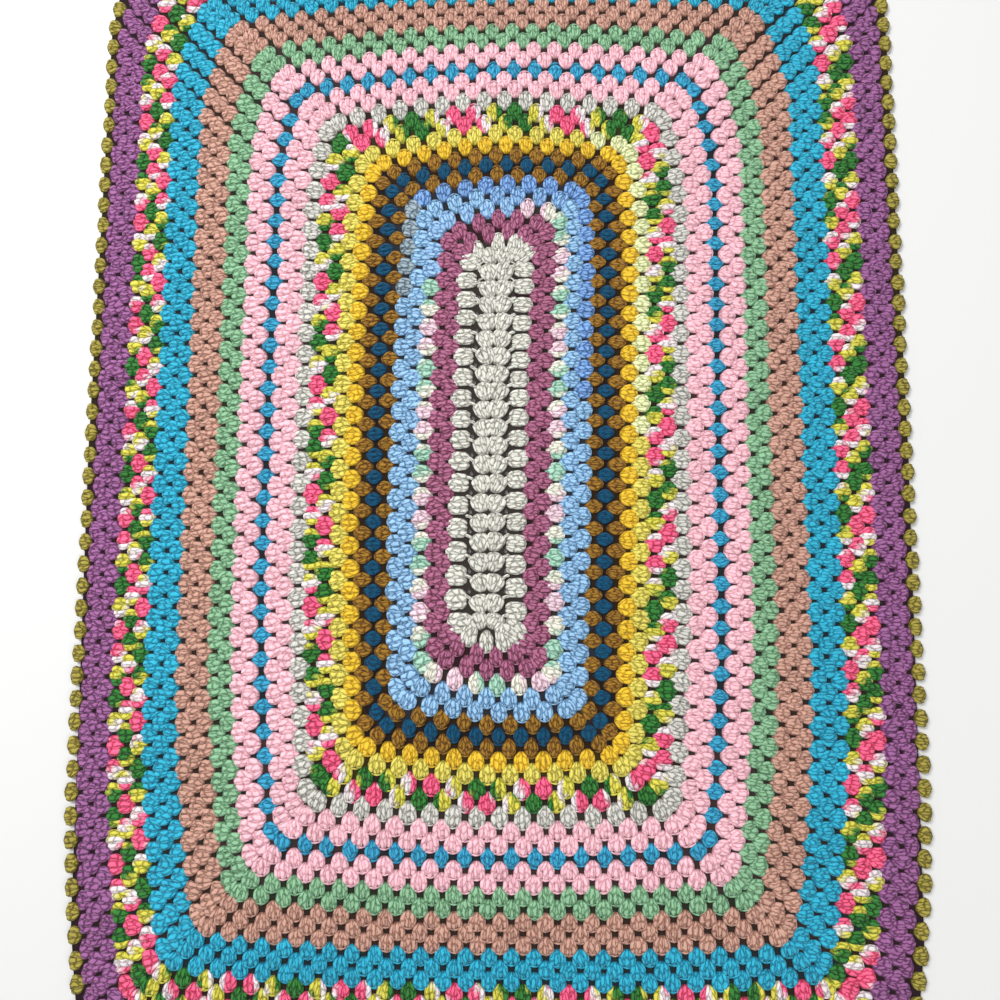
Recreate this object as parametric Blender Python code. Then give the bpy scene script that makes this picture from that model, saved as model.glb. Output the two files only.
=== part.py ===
"""A crochet afghan, laid flat: a cream strip of fans with 34 rounds of clusters worked round it.

The afghan is one closed solid. Its underside is flat at z = 0. Its upper face has a low ridge along every
round, its rim is scalloped by the clusters of the last round, and the gaps beside the strip's fans go
right through. Lengths are in metres, +X is across, +Y points to the head end and +Z is up. The origin is
under the middle of the afghan's box.
"""

import math

import bmesh
import bpy
from mathutils import Vector
from mathutils.geometry import delaunay_2d_cdt

# Every stretch of rounds in one yarn, from the middle outwards
# yarn name, rounds, row height, colour (red, green, blue), roughness
BANDS = (
    ("cream", 1, 0.0100, (0.68, 0.66, 0.57), 0.90),
    ("mauve", 2, 0.0100, (0.42, 0.11, 0.24), 0.90),
    ("pale_mix", 1, 0.0113, (0.66, 0.74, 0.62), 0.90),
    ("light_blue", 2, 0.0114, (0.27, 0.45, 0.75), 0.88),
    ("ochre", 1, 0.0094, (0.30, 0.13, 0.02), 0.90),
    ("teal", 1, 0.0082, (0.00, 0.08, 0.16), 0.88),
    ("ochre_outer", 1, 0.0088, (0.30, 0.13, 0.02), 0.90),
    ("gold", 1, 0.0093, (0.86, 0.53, 0.04), 0.90),
    ("lemon", 1, 0.0103, (0.80, 0.68, 0.15), 0.90),
    ("bright_mix", 2, 0.0106, (0.45, 0.35, 0.20), 0.90),
    ("pale_grey", 1, 0.0120, (0.61, 0.62, 0.58), 0.90),
    ("pink", 2, 0.0102, (0.90, 0.48, 0.56), 0.90),
    ("turquoise", 1, 0.0092, (0.04, 0.32, 0.58), 0.88),
    ("pink_outer", 2, 0.0091, (0.90, 0.48, 0.56), 0.90),
    ("sage", 2, 0.0094, (0.17, 0.41, 0.19), 0.90),
    ("tan", 3, 0.0086, (0.52, 0.24, 0.17), 0.90),
    ("blue", 3, 0.0084, (0.02, 0.33, 0.58), 0.88),
    ("bright_mix_outer", 3, 0.0093, (0.45, 0.35, 0.20), 0.90),
    ("purple", 3, 0.0088, (0.30, 0.10, 0.26), 0.90),
    ("mustard", 1, 0.0088, (0.35, 0.30, 0.05), 0.90),
)
LAST_ROUND = sum(band[1] for band in BANDS)

# Where round 1 runs, measured from the middle of the strip
FIRST_ROUND_HALF_WIDTH = 0.0233
FIRST_ROUND_HALF_LENGTH = 0.1675
# The rows lie closer together at the head end than at the foot end
HEAD_ROW_SHARE = 0.95
FOOT_ROW_SHARE = 1.015

# Clusters along a side: their number in round r is r plus these, so the right side has two more than the left
SIDE_CLUSTERS = {"head": 2, "right": 19, "foot": 2, "left": 17}

# A side falls back towards its two ends, and the two clusters of a corner stand a little apart
SIDE_DROP_AT_START = -0.0022
SIDE_DROP_PER_ROUND = 0.00092
SIDE_DROP_MOST = 0.0186
END_DROP_AT_START = 0.0030
END_DROP_PER_ROUND = 0.00080
END_DROP_MOST = 0.0132
FOOT_DROP_SHARE = 0.60
HEAD_SWEEP = 0.078
FOOT_SWEEP = 0.190
END_SWEEP = 0.160
DROP_POWER = 1.6
CORNER_STEP_ACROSS = 0.0100
CORNER_STEP_DOWN = 0.0097

# The strip leans and bends to one side, and the inner rounds run longer on the right than on the left
# Both die out over these rounds
LEAN_TILT = 0.0046
LEAN_BEND = 0.0022
RIGHT_STRETCH = 0.0042
LEAN_ROUNDS = 22.0

# Fans of the strip, from the head end down, and the gaps beside the feet of most of them
FANS = 20
FIRST_FAN_Y = 0.1466
LAST_FAN_Y = -0.1438
FAN_PITCH_GROWTH = 0.08
FIRST_GAP_FAN = 1
LAST_GAP_FAN = 18
GAP_X = 0.0136
GAP_ABOVE_FAN_FOOT = 0.0035
GAP_HALF_WIDTH = 0.0029
GAP_HALF_HEIGHT = 0.0049
# Two fans also have a gap under their feet: number of the fan, half width, half height
FOOT_GAPS = (
    (17, 0.0029, 0.0033),
    (18, 0.0022, 0.0029),
)

# Heights of the upper face
CREST_Z = 0.0048
VALLEY_Z = 0.0036
STRIP_Z = 0.0046
GAP_EDGE_Z = 0.0038
RIM_Z = 0.0024
STRIP_EDGE_ROUND = 0.6
VALLEY_SHIFT = 0.5
LAST_CREST_ROUND = LAST_ROUND - 0.2

# One scallop of the rim: distance along the round and distance out from it
SCALLOP_SHOULDER = (0.0052, 0.0050)
SCALLOP_TOP = 0.0074
SCALLOP_VALLEY = 0.0015

# Points of a ridge line along a side, as distances from the side's nearer end
RIDGE_STEPS = (0.0, 0.024, 0.050, 0.080)


def reach(round_number):
    """How far out from round 1 a round lies, also between two rounds."""
    first_band = BANDS[0]
    if round_number <= 1:
        return (round_number - 1) * first_band[2]
    total = 0.0
    left = round_number - 1
    for index, band in enumerate(BANDS):
        rows = band[1] - 1 if index == 0 else band[1]
        taken = min(left, rows)
        total += taken * band[2]
        left -= taken
    return total


def half_width(round_number):
    return FIRST_ROUND_HALF_WIDTH + reach(round_number)


def head_length(round_number):
    return FIRST_ROUND_HALF_LENGTH + HEAD_ROW_SHARE * reach(round_number)


def foot_length(round_number):
    return FIRST_ROUND_HALF_LENGTH + FOOT_ROW_SHARE * reach(round_number)


def side_drop(round_number):
    return min(SIDE_DROP_AT_START + SIDE_DROP_PER_ROUND * round_number, SIDE_DROP_MOST)


def head_drop(round_number):
    return min(END_DROP_AT_START + END_DROP_PER_ROUND * round_number, END_DROP_MOST)


def foot_drop(round_number):
    return FOOT_DROP_SHARE * head_drop(round_number)


def fade(round_number):
    return max(0.0, 1.0 - max(0.0, round_number - 1) / LEAN_ROUNDS)


def fall(distance, sweep, half_side):
    """The share of a side's drop that is left at a distance from its end."""
    return max(0.0, 1.0 - distance / min(sweep, half_side)) ** DROP_POWER


def lean(y, round_number):
    along = max(-1.0, min(1.0, y / FIRST_ROUND_HALF_LENGTH))
    return (LEAN_TILT * along + LEAN_BEND * along * along) * fade(round_number)


def stretch(x, y, round_number):
    along = max(-1.0, min(1.0, y / FIRST_ROUND_HALF_LENGTH))
    return RIGHT_STRETCH * along * x / half_width(round_number) * fade(round_number)


def side_length(side, round_number):
    """The length of a side between its two end clusters."""
    if side in ("head", "foot"):
        return 2 * (half_width(round_number) - side_drop(round_number) - CORNER_STEP_ACROSS)
    whole = head_length(round_number) + foot_length(round_number)
    return whole - head_drop(round_number) - foot_drop(round_number) - 2 * CORNER_STEP_DOWN


def side_point(side, round_number, distance):
    """A point of a round, at a distance along one of its sides, going clockwise from the head end."""
    length = side_length(side, round_number)
    half = length / 2
    at_head = head_drop(round_number)
    at_foot = foot_drop(round_number)
    down = side_drop(round_number)
    from_end = min(distance, length - distance)
    if side == "head":
        x = distance - half
        y = head_length(round_number) - at_head * fall(from_end, END_SWEEP, half)
    elif side == "foot":
        x = half - distance
        y = -foot_length(round_number) + at_foot * fall(from_end, END_SWEEP, half)
    else:
        to_head = distance if side == "right" else length - distance
        y = head_length(round_number) - at_head - CORNER_STEP_DOWN - to_head
        kept = fall(to_head, HEAD_SWEEP, half) + fall(length - to_head, FOOT_SWEEP, half)
        x = half_width(round_number) - down * kept
        if side == "left":
            x = -x
    return Vector((x + lean(y, round_number), y + stretch(x, y, round_number)))


def clusters_on(side, round_number):
    return round_number + SIDE_CLUSTERS[side]


def cluster_centres(round_number):
    """The centres of a round's clusters, clockwise from its head end's left corner."""
    centres = []
    for side in ("head", "right", "foot", "left"):
        count = clusters_on(side, round_number)
        length = side_length(side, round_number)
        for number in range(count):
            centres.append(side_point(side, round_number, length * number / (count - 1)))
    return centres


def ridge_line(round_number):
    """A closed line of a few points along a round."""
    line = []
    for side in ("head", "right", "foot", "left"):
        length = side_length(side, round_number)
        steps = [step for step in RIDGE_STEPS if step < length / 2 - RIDGE_STEPS[1] / 3]
        distances = steps + [length / 2] + [length - step for step in reversed(steps)]
        for distance in distances:
            line.append(side_point(side, round_number, distance))
    return line


def rim_line():
    """The scalloped outline, anticlockwise, with four points for each cluster of the last round."""
    centres = cluster_centres(LAST_ROUND)
    count = len(centres)
    line = []
    for number, centre in enumerate(centres):
        before = centres[number - 1]
        after = centres[(number + 1) % count]
        along = (after - before).normalized()
        out = Vector((-along.y, along.x))
        shoulder_along, shoulder_out = SCALLOP_SHOULDER
        line.append(centre - along * shoulder_along + out * shoulder_out)
        line.append(centre + out * SCALLOP_TOP)
        line.append(centre + along * shoulder_along + out * shoulder_out)
        step = (after - centre).normalized()
        step_out = Vector((-step.y, step.x))
        line.append((centre + after) / 2 + step_out * SCALLOP_VALLEY)
    return line[::-1]


def fan_foot_y(number):
    share = number / (FANS - 1)
    share -= FAN_PITCH_GROWTH * share * (1 - share)
    return FIRST_FAN_Y + (LAST_FAN_Y - FIRST_FAN_Y) * share


def gap_outline(x, y, half_w, half_h):
    """A gap with a narrow upper end and a broad lower end, like the space between two fans."""
    corners = (
        (0.0, 1.0),
        (-0.7, 0.35),
        (-1.0, -0.55),
        (-0.35, -1.0),
        (0.5, -0.95),
        (1.0, -0.4),
        (0.65, 0.45),
    )
    middle = lean(y, 0)
    return [Vector((middle + x + half_w * u, y + half_h * v)) for u, v in corners]


def gap_outlines():
    gaps = []
    for number in range(FIRST_GAP_FAN, LAST_GAP_FAN + 1):
        y = fan_foot_y(number) + GAP_ABOVE_FAN_FOOT
        for x in (-GAP_X, GAP_X):
            gaps.append(gap_outline(x, y, GAP_HALF_WIDTH, GAP_HALF_HEIGHT))
    for number, half_w, half_h in FOOT_GAPS:
        gaps.append(gap_outline(0.0, fan_foot_y(number) - half_h, half_w, half_h))
    return gaps


class Drawing:
    """Flat points with a height each, and the lines and outlines that the faces have to follow."""

    def __init__(self):
        self.points = []
        self.heights = []
        self.edges = []
        self.outlines = []

    def add_points(self, line, height):
        first = len(self.points)
        self.points.extend(line)
        self.heights.extend([height] * len(line))
        return list(range(first, len(self.points)))

    def add_ridge(self, line, height):
        numbers = self.add_points(line, height)
        self.edges.extend(zip(numbers, numbers[1:] + numbers[:1]))

    def add_open_ridge(self, line, height):
        numbers = self.add_points(line, height)
        self.edges.extend(zip(numbers, numbers[1:]))

    def add_outline(self, line, height):
        self.outlines.append(self.add_points(line, height))

    def fill(self):
        """Triangles over the first outline, without those inside the other outlines."""
        filled = delaunay_2d_cdt(self.points, self.edges, self.outlines, 1, 1e-7)
        points, _, triangles, from_points, _, from_outlines = filled
        kept = [tri for tri, own in zip(triangles, from_outlines) if list(own) == [0]]
        heights = [self.heights[sources[0]] for sources in from_points]
        place_of = {source: place for place, sources in enumerate(from_points) for source in sources}
        return points, heights, kept, place_of


def round_at(distance_out):
    """The number of the round that a given distance out from round 1 belongs to."""
    number = 1
    while number < LAST_ROUND and reach(number + VALLEY_SHIFT) < distance_out:
        number += 1
    return number


def band_of_round(round_number):
    for index, band in enumerate(BANDS):
        round_number -= band[1]
        if round_number <= 0:
            return index
    return len(BANDS) - 1


def yarn_material(name, colour, roughness):
    material = bpy.data.materials.new("yarn_" + name)
    material.use_nodes = True
    shader = material.node_tree.nodes["Principled BSDF"]
    shader.inputs["Base Color"].default_value = (*colour, 1.0)
    shader.inputs["Roughness"].default_value = roughness
    shader.inputs["Metallic"].default_value = 0.0
    material.diffuse_color = (*colour, 1.0)
    return material


def draw_upper_face(rim, gaps):
    drawing = Drawing()
    drawing.add_outline(rim, RIM_Z)
    for gap in gaps:
        drawing.add_outline(gap, GAP_EDGE_Z)
    drawing.add_ridge(ridge_line(STRIP_EDGE_ROUND), VALLEY_Z)
    for number in range(1, LAST_ROUND):
        drawing.add_ridge(ridge_line(number), CREST_Z)
        drawing.add_ridge(ridge_line(number + VALLEY_SHIFT), VALLEY_Z)
    drawing.add_ridge(ridge_line(LAST_CREST_ROUND), CREST_Z)
    strip_top = [fan_foot_y(number) for number in range(LAST_GAP_FAN - 1)]
    drawing.add_open_ridge([Vector((lean(y, 0), y)) for y in strip_top], STRIP_Z)
    return drawing


def draw_underside(rim, gaps):
    drawing = Drawing()
    drawing.add_outline(rim, 0.0)
    for gap in gaps:
        drawing.add_outline(gap, 0.0)
    return drawing


def add_face_sheet(bm, drawing, middle):
    """Adds a drawing's faces to a mesh, and returns the corners made for its own points."""
    points, heights, triangles, place_of = drawing.fill()
    corners = {}
    for place in sorted({corner for tri in triangles for corner in tri}):
        flat = points[place] - middle
        corners[place] = bm.verts.new((flat.x, flat.y, heights[place]))
    for tri in triangles:
        bm.faces.new([corners[place] for place in tri])
    return [[corners[place_of[number]] for number in outline] for outline in drawing.outlines]


def add_walls(bm, upper_loops, lower_loops):
    for upper, lower in zip(upper_loops, lower_loops):
        count = len(upper)
        for number in range(count):
            after = (number + 1) % count
            bm.faces.new((upper[number], upper[after], lower[after], lower[number]))


def paint_rounds(bm, middle):
    """Gives each face the yarn of its round, told by how far out from the strip it lies."""
    for face in bm.faces:
        centre = face.calc_center_median().xy + middle
        past_side = abs(centre.x) - FIRST_ROUND_HALF_WIDTH
        past_head = (centre.y - FIRST_ROUND_HALF_LENGTH) / HEAD_ROW_SHARE
        past_foot = (-centre.y - FIRST_ROUND_HALF_LENGTH) / FOOT_ROW_SHARE
        out = max(past_side, past_head, past_foot)
        face.material_index = band_of_round(round_at(out))


def build_afghan():
    rim = rim_line()
    gaps = gap_outlines()
    low = Vector((min(p.x for p in rim), min(p.y for p in rim)))
    high = Vector((max(p.x for p in rim), max(p.y for p in rim)))
    middle = (low + high) / 2
    bm = bmesh.new()
    upper_loops = add_face_sheet(bm, draw_upper_face(rim, gaps), middle)
    lower_loops = add_face_sheet(bm, draw_underside(rim, gaps), middle)
    add_walls(bm, upper_loops, lower_loops)
    bmesh.ops.recalc_face_normals(bm, faces=bm.faces)
    bmesh.ops.triangulate(bm, faces=bm.faces)
    paint_rounds(bm, middle)
    mesh = bpy.data.meshes.new("afghan")
    bm.to_mesh(mesh)
    bm.free()
    for name, _, _, colour, roughness in BANDS:
        mesh.materials.append(yarn_material(name, colour, roughness))
    afghan = bpy.data.objects.new("afghan", mesh)
    bpy.context.scene.collection.objects.link(afghan)
    return afghan


def main():
    for old in list(bpy.data.objects):
        bpy.data.objects.remove(old, do_unlink=True)
    build_afghan()


main()
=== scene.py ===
"""The crochet afghan in worked yarn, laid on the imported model's own frame.

Every round is a ring of clusters, and every cluster is three posts of twisted yarn under a short chain.
The rounds and the strip's fans stand where the solid has them, so the named sizes are the same ones.
Lengths are in metres, +X is across, +Y points to the head end and +Z is up.
"""

import math

import bpy
import numpy as np
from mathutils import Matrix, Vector
from mathutils.geometry import delaunay_2d_cdt


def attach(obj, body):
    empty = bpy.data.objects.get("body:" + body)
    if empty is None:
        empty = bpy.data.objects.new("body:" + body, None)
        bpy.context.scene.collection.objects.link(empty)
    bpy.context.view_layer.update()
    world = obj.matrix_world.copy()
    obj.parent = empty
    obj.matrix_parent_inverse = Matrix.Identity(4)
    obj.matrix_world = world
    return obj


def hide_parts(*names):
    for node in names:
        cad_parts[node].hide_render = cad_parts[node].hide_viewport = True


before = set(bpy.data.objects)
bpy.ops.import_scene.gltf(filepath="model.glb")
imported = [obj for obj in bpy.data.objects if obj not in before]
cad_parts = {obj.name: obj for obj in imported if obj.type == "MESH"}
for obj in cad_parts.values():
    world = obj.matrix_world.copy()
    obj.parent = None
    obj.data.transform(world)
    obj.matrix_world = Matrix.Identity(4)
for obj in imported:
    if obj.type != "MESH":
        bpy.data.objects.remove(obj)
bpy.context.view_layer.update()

# Every stretch of rounds in one yarn, from the middle outwards
# piece, yarn, rounds, row height, width of a cluster as a share of its pitch
BANDS = (
    ("cream", "cream", 1, 0.0100, 0.91),
    ("mauve", "mauve", 2, 0.0100, 0.86),
    ("pale_mix", "pale_mix", 1, 0.0113, 0.88),
    ("light_blue", "light_blue", 2, 0.0114, 0.88),
    ("ochre", "ochre", 1, 0.0094, 0.72),
    ("teal", "teal", 1, 0.0082, 0.69),
    ("ochre_outer", "ochre", 1, 0.0088, 0.72),
    ("gold", "gold", 1, 0.0093, 0.87),
    ("lemon", "lemon", 1, 0.0103, 0.90),
    ("bright_mix", "bright_mix", 2, 0.0106, 0.90),
    ("pale_grey", "pale_grey", 1, 0.0120, 0.90),
    ("pink", "pink", 2, 0.0102, 0.92),
    ("turquoise", "turquoise", 1, 0.0092, 0.72),
    ("pink_outer", "pink", 2, 0.0091, 0.90),
    ("sage", "sage", 2, 0.0094, 0.86),
    ("tan", "tan", 3, 0.0086, 0.86),
    ("blue", "blue", 3, 0.0084, 0.86),
    ("bright_mix_outer", "bright_mix", 3, 0.0093, 0.88),
    ("purple", "purple", 3, 0.0088, 0.87),
    ("mustard", "mustard", 1, 0.0088, 0.78),
)
LAST_ROUND = sum(band[2] for band in BANDS)

# Where round 1 runs, measured from the middle of the strip
FIRST_ROUND_HALF_WIDTH = 0.0233
FIRST_ROUND_HALF_LENGTH = 0.1675
HEAD_ROW_SHARE = 0.95
FOOT_ROW_SHARE = 1.015

# Clusters along a side: their number in round r is r plus these, so the right side has two more than the left
SIDE_CLUSTERS = {"head": 2, "right": 19, "foot": 2, "left": 17}

# A side falls back towards its two ends, and the two clusters of a corner stand a little apart
SIDE_DROP_AT_START = -0.0022
SIDE_DROP_PER_ROUND = 0.00092
SIDE_DROP_MOST = 0.0186
END_DROP_AT_START = 0.0030
END_DROP_PER_ROUND = 0.00080
END_DROP_MOST = 0.0132
FOOT_DROP_SHARE = 0.60
HEAD_SWEEP = 0.078
FOOT_SWEEP = 0.190
END_SWEEP = 0.160
DROP_POWER = 1.6
CORNER_STEP_ACROSS = 0.0100
CORNER_STEP_DOWN = 0.0097

# The strip leans and bends to one side, and the inner rounds run longer on the right than on the left
# Both die out over these rounds
LEAN_TILT = 0.0046
LEAN_BEND = 0.0022
RIGHT_STRETCH = 0.0042
LEAN_ROUNDS = 22.0

# Fans of the strip, from the head end down, and the gaps beside the feet of most of them
FANS = 20
FIRST_FAN_Y = 0.1466
LAST_FAN_Y = -0.1438
FAN_PITCH_GROWTH = 0.08
FIRST_GAP_FAN = 1
LAST_GAP_FAN = 18
GAP_X = 0.0136
GAP_ABOVE_FAN_FOOT = 0.0035
GAP_HALF_WIDTH = 0.0029
GAP_HALF_HEIGHT = 0.0049
FOOT_GAPS = (
    (17, 0.0029, 0.0033),
    (18, 0.0022, 0.0029),
)

# One scallop of the rim: distance along the round and distance out from it
SCALLOP_SHOULDER = (0.0052, 0.0050)
SCALLOP_TOP = 0.0074
SCALLOP_VALLEY = 0.0015

# Points of a line along a side, as distances from the side's nearer end
RIDGE_STEPS = (0.0, 0.024, 0.050, 0.080)

# A cluster reaches from the last round's line past its own by this share of a row
TOP_SHARE = 0.88
# The two clusters of a corner start this share of the way out to their own round, and less far in round 2
CORNER_START = 0.36
SECOND_CORNER_START = 0.14
# Past their own round's line they reach this share of what the other clusters do
CORNER_TOP_SHARE = 0.76
# The other clusters start further out by these shares of their length, in round 2 and past it
SECOND_ROUND_START = {"head": 0.0, "right": 0.20, "foot": 0.03, "left": 0.20}
FULL_CLUSTER_START = 0.08
# Clusters at the two ends are narrower for their pitch than the ones on the sides, less so in round 1
SIDE_FULLNESS = {"head": 0.86, "right": 1.05, "foot": 0.90, "left": 1.05}
FIRST_FULLNESS = {"head": 0.90, "right": 1.0, "foot": 0.95, "left": 1.0}
POSTS = 3
POST_SIDES = 6
POST_MIDDLE_Z = 0.00235
POST_HEIGHT_MOST = 0.00230
MIDDLE_POST_LIFT = 0.00012
OUTER_POST_DROP = 0.00015
OUTER_POST_SHORTER = 0.05
POST_OVERLAP = 1.20
# How uneven hand work is: place, turn in radians, length, width, one post's thickness and tone
PLACE_UNEVEN = 0.00035
TURN_UNEVEN = 0.045
LENGTH_UNEVEN = 0.035
WIDTH_UNEVEN = 0.045
POST_UNEVEN = 0.06
RING_UNEVEN = 0.00016
RING_THICKNESS_UNEVEN = 0.06
TONE_UNEVEN = 0.055
# Each post's strands slant one way or the other by up to this far in a full turn
SLANT_MOST = 0.0060
ALONG_OFFSET_MOST = 0.5
YARN_START_MOST = 20.0
SEED = 34

# Rings of a post from its foot to its top: share of the length, of the spread, of the thickness, and lift
CLUSTER_RINGS = (
    (0.00, 0.16, 0.00, -0.00090),
    (0.07, 0.32, 0.60, -0.00075),
    (0.21, 0.67, 0.90, -0.00035),
    (0.37, 0.92, 0.99, -0.00005),
    (0.53, 1.03, 0.95, 0.0),
    (0.69, 1.02, 1.00, 0.0),
    (0.86, 0.93, 0.84, -0.00010),
    (0.950, 0.88, 0.00, -0.00060),
)
# Clusters narrower than this share of their pitch taper to both ends, and are as wide on every side
LENS_FULLNESS = 0.73
LENS_RINGS = (
    (0.00, 0.10, 0.00, -0.00090),
    (0.07, 0.22, 0.58, -0.00075),
    (0.22, 0.58, 0.88, -0.00035),
    (0.38, 0.90, 0.99, -0.00005),
    (0.54, 1.08, 0.96, 0.0),
    (0.70, 0.88, 0.98, 0.0),
    (0.85, 0.50, 0.80, -0.00020),
    (0.960, 0.28, 0.00, -0.00070),
)
BARREL_RINGS = (
    (0.00, 0.62, 0.00, -0.00060),
    (0.06, 0.72, 0.66, -0.00040),
    (0.22, 0.94, 0.96, -0.00005),
    (0.40, 1.00, 0.94, 0.0),
    (0.56, 1.02, 1.00, 0.0),
    (0.74, 0.98, 0.96, 0.0),
    (0.90, 0.88, 0.84, -0.00015),
    (0.99, 0.76, 0.00, -0.00070),
)
# Two clusters at the strip's head end are broad at the foot and narrow at the top
FINGER_RINGS = (
    (0.00, 0.84, 0.00, -0.00070),
    (0.06, 0.98, 0.62, -0.00055),
    (0.22, 1.00, 0.86, -0.00010),
    (0.40, 0.88, 0.90, 0.0),
    (0.58, 0.72, 0.92, 0.0),
    (0.76, 0.58, 0.94, 0.0),
    (0.91, 0.52, 0.80, -0.00010),
    (1.00, 0.46, 0.00, -0.00070),
)
FINGER_WIDTHS = (1.08, 1.15)
# Their tops stand this far from the middle of their space, towards +X, and this much shorter
FINGER_SHIFTS = (-0.0034, 0.0)
FINGER_SHORTER = 0.0014
LOBE_RINGS = (
    (0.00, 0.12, 0.00, -0.00080),
    (0.08, 0.36, 0.60, -0.00065),
    (0.25, 0.72, 0.88, -0.00020),
    (0.43, 0.96, 0.96, 0.0),
    (0.61, 1.07, 0.96, 0.0),
    (0.78, 1.06, 0.98, 0.0),
    (0.91, 0.90, 0.86, -0.00010),
    (1.01, 0.72, 0.00, -0.00070),
)
# The chain over a cluster's top: share across, and thickness
CHAIN_RINGS = (
    (-1.00, 0.00),
    (-0.78, 0.95),
    (-0.36, 0.80),
    (0.00, 1.00),
    (0.36, 0.80),
    (0.78, 0.95),
    (1.00, 0.00),
)
CHAIN_SIDES = 4
CHAIN_THICKNESS = 0.00100
CHAIN_FALL = 0.00095
# Where a chain runs: half its run (share of the half width), its middle and its bow (of the length), and lift
END_CHAIN = (0.76, 0.925, 0.100, 0.00070)
SIDE_CHAIN = (0.62, 0.895, 0.080, 0.00035)
BARREL_CHAIN = (0.66, 0.925, 0.040, 0.00030)
FINGER_CHAIN = (0.58, 0.955, 0.050, 0.00110)
LOBE_CHAIN = (0.60, 0.950, 0.070, 0.00060)

# Feet of the clusters of round 1 at the two ends, from the strip's middle line and from its middle
HEAD_CORNER_FOOT = (0.0132, 0.1505)
HEAD_MIDDLE_FOOT = 0.1600
FOOT_CORNER_FOOT = (0.0125, -0.1515)
FOOT_MIDDLE_FOOT = -0.1560
FIRST_SIDE_FOOT = 0.0088
FIRST_CORNER_WIDER = 1.14
# The left clusters of round 1 stand further out than the right ones: at the foot and at the top
FIRST_LEFT_OUT = (0.0014, 0.0022)

# Fans: where the two lobes start and end, and the short extra fan at the foot end
LOBE_FOOT_X = 0.0032
LOBE_TOP = (0.0088, 0.0158)
LOBE_WIDTH = 0.0165
END_FAN_Y = -0.1568
END_FAN_SHARE = 0.86
# Strands that lead from the fans to round 1: start, end (across, and up from the fan's foot), thickness,
# and how many fans from the head end have them
STRANDS = (
    ((0.0120, 0.0112), (0.0186, 0.0146), 0.00150, FANS + 1),
    ((0.0100, -0.0004), (0.0166, -0.0050), 0.00125, 4),
    ((0.0112, 0.0034), (0.0160, -0.0006), 0.00090, 2),
)
STRAND_WANDER = 0.0009
STRAND_RISE = 0.0005
# Height of a strand's start and end above the middle of the posts
STRAND_LIFTS = (0.0004, 0.0002)
ARC_STEPS = 7

# The web under the clusters, a thin sheet coloured near black as painted shade for the strands deep in the
# work
WEB_LOW_Z = 0.0019
WEB_HIGH_Z = 0.0023
# Painted shade: the web is this dark brown, with the given share of the yarn's colour mixed in
WEB_SHARE = 0.03
WEB_PAINTED_SHADE_BROWN = (0.015, 0.009, 0.007)
WEB_GAP_SHARE = 0.42
# How far the web's gaps beside the fans lie from the middle of the solid's: out, and towards the head end
WEB_GAP_SHIFT = (0.0010, -0.0020)
# Fill inside the outlines only, and points closer than this become one
FILL_OUTLINES = 1
MERGE_DISTANCE = 1e-7

# Yarns: colour (red, green, blue), second colour, roughness, how much its plies show
YARNS = {
    "cream": ((0.74, 0.73, 0.66), (0.60, 0.57, 0.47), 0.92, 1.0),
    "mauve": ((0.42, 0.145, 0.250), (0.42, 0.145, 0.250), 0.92, 0.9),
    "pale_mix": ((0.34, 0.56, 0.84), (0.34, 0.56, 0.84), 0.92, 0.9),
    "light_blue": ((0.33, 0.56, 0.81), (0.19, 0.36, 0.71), 0.90, 1.0),
    "ochre": ((0.33, 0.17, 0.02), (0.33, 0.17, 0.02), 0.92, 0.9),
    "teal": ((0.00, 0.075, 0.155), (0.00, 0.075, 0.155), 0.88, 0.45),
    "gold": ((0.83, 0.55, 0.04), (0.83, 0.55, 0.04), 0.92, 0.8),
    "lemon": ((0.76, 0.67, 0.14), (0.80, 0.84, 0.48), 0.92, 0.9),
    "bright_mix": ((0.80, 0.70, 0.60), (0.80, 0.70, 0.60), 0.92, 0.9),
    "pale_grey": ((0.66, 0.65, 0.60), (0.66, 0.65, 0.60), 0.92, 1.0),
    "pink": ((0.95, 0.56, 0.63), (0.95, 0.56, 0.63), 0.92, 0.65),
    "turquoise": ((0.045, 0.37, 0.58), (0.045, 0.37, 0.58), 0.90, 0.8),
    "sage": ((0.28, 0.51, 0.31), (0.28, 0.51, 0.31), 0.92, 0.8),
    "tan": ((0.60, 0.35, 0.275), (0.60, 0.35, 0.275), 0.92, 0.8),
    "blue": ((0.035, 0.44, 0.62), (0.035, 0.44, 0.62), 0.90, 0.8),
    "purple": ((0.34, 0.13, 0.31), (0.34, 0.13, 0.31), 0.92, 0.9),
    "mustard": ((0.38, 0.32, 0.06), (0.38, 0.32, 0.06), 0.92, 0.9),
}
HOT_PINK = (0.92, 0.14, 0.28)
SOFT_WHITE = (0.86, 0.78, 0.80)
ACID_YELLOW = (0.70, 0.65, 0.09)
LEAF_GREEN = (0.035, 0.20, 0.035)
SHELL_PINK = (0.88, 0.66, 0.74)
MILK = (0.84, 0.83, 0.72)
MINT = (0.40, 0.66, 0.52)
# Yarns dyed in stretches: posts to a full repeat, then where each colour starts and ends
MIXES = {
    "bright_mix": (
        14.7,
        (
            (0.00, 0.21, HOT_PINK),
            (0.24, 0.31, SOFT_WHITE),
            (0.34, 0.43, ACID_YELLOW),
            (0.46, 0.71, LEAF_GREEN),
            (0.74, 0.83, ACID_YELLOW),
            (0.86, 0.91, SOFT_WHITE),
            (0.94, 1.00, HOT_PINK),
        ),
    ),
    "pale_mix": (
        12.4,
        (
            (0.00, 0.22, SHELL_PINK),
            (0.28, 0.42, MILK),
            (0.48, 0.74, MINT),
            (0.80, 0.90, MILK),
            (0.95, 1.00, SHELL_PINK),
        ),
    ),
}
# Where along its repeat the mixed yarn of a piece starts, in posts
FIRST_PLACES = {"bright_mix": 13.2}
# The colour that a stretch of a yarn has faded to
FADED = {"light_blue": (0.34, 0.43, 0.49)}
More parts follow.
